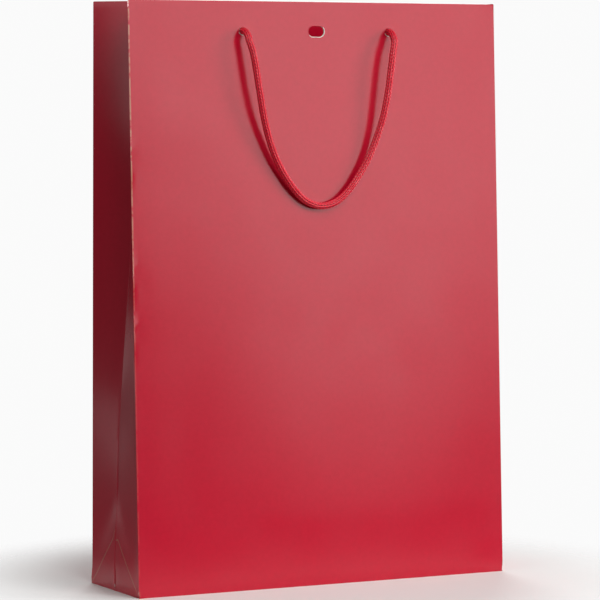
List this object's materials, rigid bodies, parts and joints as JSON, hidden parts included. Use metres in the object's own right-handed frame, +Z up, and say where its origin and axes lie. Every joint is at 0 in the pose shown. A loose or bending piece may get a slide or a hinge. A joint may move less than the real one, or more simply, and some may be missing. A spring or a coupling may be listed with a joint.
{
  "type": "gift bag",
  "caption": "Tall laminated paper gift bag with folded gussets, a turned-in hem, a base board, a ribbon slot in each panel and hanging braided cord handles.",
  "frame": {"origin": "centre of the base, on the face that stands on the table", "axes": "+Z up the bag, +X along the width of the front panel, -Y out of the front panel"},
  "size_m": [0.32, 0.0999, 0.455],
  "materials": {
    "paper_red": "art paper with a clear film laminated over red print",
    "paper_white": "uncoated white back of the paper",
    "card_grey": "uncoated grey board",
    "cord_red": "knitted polypropylene cord with a satin sheen"
  },
  "bodies": {
    "bag": {"front_panel": "paper_red", "back_panel": "paper_red", "left_gusset_front_half": "paper_red", "left_gusset_back_half": "paper_red", "right_gusset_front_half": "paper_red", "right_gusset_back_half": "paper_red", "front_hem": "paper_red", "back_hem": "paper_red", "left_gusset_hem": "paper_red", "right_gusset_hem": "paper_red", "front_bottom_flap": "paper_red", "back_bottom_flap": "paper_red", "left_bottom_flap": "paper_red", "right_bottom_flap": "paper_red", "glue_flap": "paper_white", "front_card_strip": "card_grey", "back_card_strip": "card_grey", "base_board": "card_grey", "front_left_cord_end": "cord_red", "front_right_cord_end": "cord_red", "back_left_cord_end": "cord_red", "back_right_cord_end": "cord_red"},
    "front_handle": {"front_handle": "cord_red"},
    "back_handle": {"back_handle": "cord_red"}
  },
  "joints": [
    {"name": "front_handle_swing", "type": "hinge", "parent": "bag", "child": "front_handle", "pos_m": [0, -0.0379, 0.43241], "axis": [-1, 0, 0], "range_deg": [0, 180]},
    {"name": "back_handle_swing", "type": "hinge", "parent": "bag", "child": "back_handle", "pos_m": [0, 0.0493, 0.43213], "axis": [1, 0, 0], "range_deg": [0, 180]}
  ]
}
